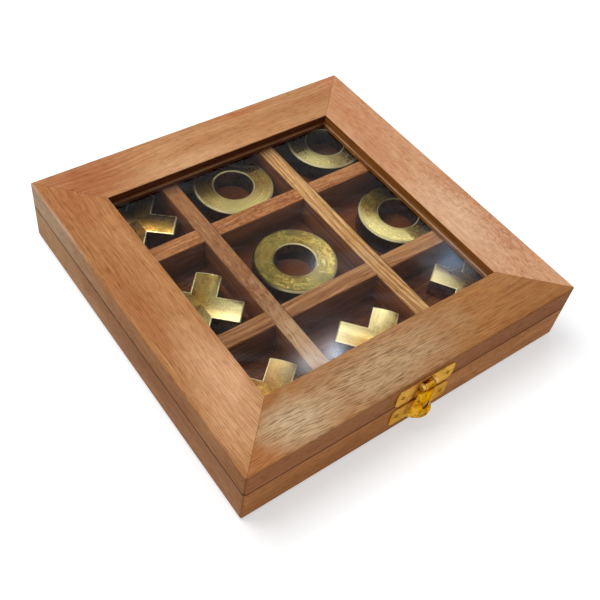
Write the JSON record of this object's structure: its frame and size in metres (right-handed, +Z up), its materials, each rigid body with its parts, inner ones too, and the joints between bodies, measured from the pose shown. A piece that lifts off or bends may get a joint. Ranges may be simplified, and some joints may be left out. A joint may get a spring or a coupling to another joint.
{
  "type": "tic-tac-toe box",
  "caption": "Flat square wooden game box with a glazed mitred lid, a slatted grid of cells, brass noughts and crosses, and a front latch.",
  "frame": {"origin": "middle of the underside, on the surface that the box rests on", "axes": "+Z up, -Y towards the latch at the front, +Y towards the hinges at the back, +X to the right seen from the front"},
  "size_m": [0.1778, 0.1875, 0.0338],
  "materials": {
    "lid_wood": "satin hardwood with fine dark pores",
    "tray_wood": "satin hardwood",
    "slat_wood": "sawn and sanded hardwood",
    "panel_wood": "dark stained board",
    "clear_glass": "clear float glass",
    "piece_brass": "aged cast brass, lightly brushed",
    "latch_brass": "bright gold-coloured plating on stamped brass",
    "hinge_brass": "satin brass"
  },
  "bodies": {
    "tray": {"front_wall": "tray_wood", "right_wall": "tray_wood", "back_wall": "tray_wood", "left_wall": "tray_wood", "bottom_panel": "panel_wood", "left_slat": "slat_wood", "right_slat": "slat_wood", "front_slat": "slat_wood", "back_slat": "slat_wood", "catch_plate": "latch_brass", "catch_plate_nails": "latch_brass", "left_hinge_tray_leaf": "hinge_brass", "right_hinge_tray_leaf": "hinge_brass", "left_hinge_pin": "hinge_brass", "right_hinge_pin": "hinge_brass"},
    "lid": {"lid_front_rail": "lid_wood", "lid_right_rail": "lid_wood", "lid_back_rail": "lid_wood", "lid_left_rail": "lid_wood", "glass_pane": "clear_glass", "left_hinge_lid_leaf": "hinge_brass", "right_hinge_lid_leaf": "hinge_brass", "hasp_plate": "latch_brass", "hasp_plate_nails": "latch_brass", "hasp_pin": "latch_brass"},
    "hasp": {"hasp": "latch_brass"},
    "o_piece_back": {"o_piece_back": "piece_brass"},
    "o_piece_back_right": {"o_piece_back_right": "piece_brass"},
    "o_piece_centre": {"o_piece_centre": "piece_brass"},
    "o_piece_right": {"o_piece_right": "piece_brass"},
    "x_piece_back_left": {"x_piece_back_left": "piece_brass"},
    "x_piece_left": {"x_piece_left": "piece_brass"},
    "x_piece_front_left": {"x_piece_front_left": "piece_brass"},
    "x_piece_front": {"x_piece_front": "piece_brass"},
    "x_piece_front_right": {"x_piece_front_right": "piece_brass"}
  },
  "joints": [
    {"name": "lid_hinge", "type": "hinge", "parent": "tray", "child": "lid", "pos_m": [0, 0.091, 0.02045], "axis": [-1, 0, 0], "range_deg": [0, 180]},
    {"name": "hasp_hinge", "type": "hinge", "parent": "lid", "child": "hasp", "pos_m": [0, -0.091, 0.0283], "axis": [-1, 0, 0], "range_deg": [0, 170]},
    {"name": "o_piece_back_lift", "type": "slide", "parent": "tray", "child": "o_piece_back", "axis": [0, 0, 1], "range_m": [0, 0.0068]},
    {"name": "o_piece_back_right_lift", "type": "slide", "parent": "tray", "child": "o_piece_back_right", "axis": [0, 0, 1], "range_m": [0, 0.0068]},
    {"name": "o_piece_centre_lift", "type": "slide", "parent": "tray", "child": "o_piece_centre", "axis": [0, 0, 1], "range_m": [0, 0.0068]},
    {"name": "o_piece_right_lift", "type": "slide", "parent": "tray", "child": "o_piece_right", "axis": [0, 0, 1], "range_m": [0, 0.0068]},
    {"name": "x_piece_back_left_lift", "type": "slide", "parent": "tray", "child": "x_piece_back_left", "axis": [0, 0, 1], "range_m": [0, 0.0068]},
    {"name": "x_piece_left_lift", "type": "slide", "parent": "tray", "child": "x_piece_left", "axis": [0, 0, 1], "range_m": [0, 0.0068]},
    {"name": "x_piece_front_left_lift", "type": "slide", "parent": "tray", "child": "x_piece_front_left", "axis": [0, 0, 1], "range_m": [0, 0.0068]},
    {"name": "x_piece_front_lift", "type": "slide", "parent": "tray", "child": "x_piece_front", "axis": [0, 0, 1], "range_m": [0, 0.0068]},
    {"name": "x_piece_front_right_lift", "type": "slide", "parent": "tray", "child": "x_piece_front_right", "axis": [0, 0, 1], "range_m": [0, 0.0068]}
  ]
}
